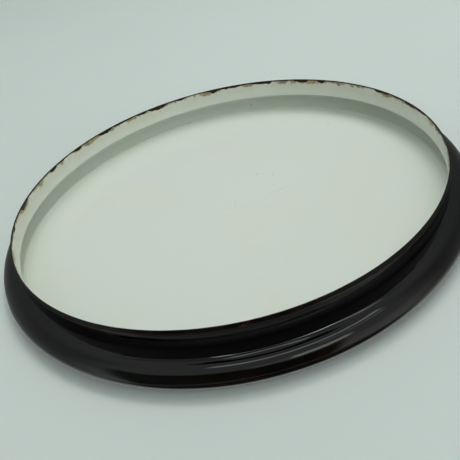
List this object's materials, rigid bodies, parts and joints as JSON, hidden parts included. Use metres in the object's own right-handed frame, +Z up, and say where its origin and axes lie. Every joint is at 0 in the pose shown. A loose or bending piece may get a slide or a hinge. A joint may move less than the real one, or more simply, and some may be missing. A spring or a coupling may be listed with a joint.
{
  "type": "mixing palette dish",
  "caption": "Round shallow enamelled-steel mixing dish: flat white floor, upright neck, rolled dark outer bulge that it stands on.",
  "frame": {"origin": "on the dish axis, in the plane that the standing ring rests on", "axes": "+Z up along the dish axis, out of the open mouth; X and Y are any two directions in the standing plane, since the dish is round"},
  "size_m": [0.2184, 0.2184, 0.0223],
  "materials": {
    "sheet_steel": "dull drawn sheet steel, hidden under the enamel",
    "white_enamel": "glossy white vitreous enamel with faint scuffs and a few dark specks",
    "dark_enamel": "glossy near-black brown vitreous enamel",
    "ground_coat": "dull dark brown ground coat, chipped and rusty in places"
  },
  "bodies": {
    "root": {"steel_pressing": "sheet_steel", "white_enamel_lining": "white_enamel", "dark_enamel_jacket": "dark_enamel", "rim_edge_coat": "ground_coat"}
  },
  "joints": []
}
